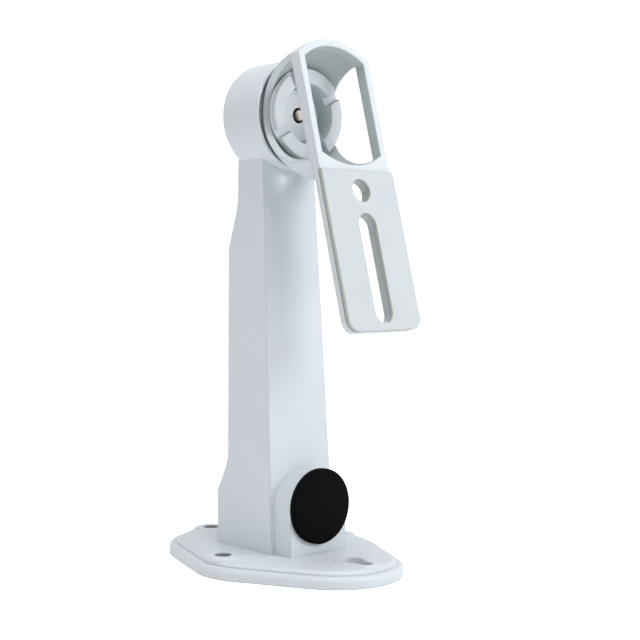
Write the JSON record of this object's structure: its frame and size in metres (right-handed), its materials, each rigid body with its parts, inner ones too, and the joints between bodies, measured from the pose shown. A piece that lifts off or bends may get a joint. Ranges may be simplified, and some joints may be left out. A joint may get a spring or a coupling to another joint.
{
  "type": "camera wall bracket",
  "caption": "Cast wall bracket: kite-shaped screw base, hollow tapered arm, and a half-ball head with a slotted camera plate that tilts and turns about a clamp bolt.",
  "frame": {"origin": "midpoint between the two side screw holes, on the wall face of the base", "axes": "+Z along the arm away from the wall, -Y towards the cable plug and the camera plate, +X to the right as seen from the plug's side"},
  "size_m": [0.069, 0.0985, 0.1749],
  "materials": {
    "arm_coat": "fine satin powder coat, light grey",
    "head_coat": "fine satin powder coat, light grey",
    "grip": "matt light grey rubber",
    "cup_coat": "fine satin powder coat, light grey",
    "bolt_steel": "zinc-plated steel",
    "washer_steel": "zinc-plated steel",
    "spring_steel": "zinc-plated spring steel",
    "plug_rubber": "satin black rubber"
  },
  "bodies": {
    "arm": {"arm_casting": "arm_coat", "clamp_bolt": "bolt_steel", "flat_washer": "washer_steel", "spring_washer": "spring_steel", "cable_plug": "plug_rubber"},
    "cup": {"clamp_cup": "cup_coat"},
    "head": {"head_casting": "head_coat", "grip_pad": "grip"}
  },
  "joints": [
    {"name": "head_spin", "type": "hinge", "parent": "arm", "child": "cup", "pos_m": [0, -0.0256, 0.1516], "axis": [0, -1, 0], "continuous": true},
    {"name": "head_tilt", "type": "hinge", "parent": "cup", "child": "head", "pos_m": [0, -0.0256, 0.1516], "axis": [-1, 0, 0], "range_deg": [-27, 30]}
  ]
}
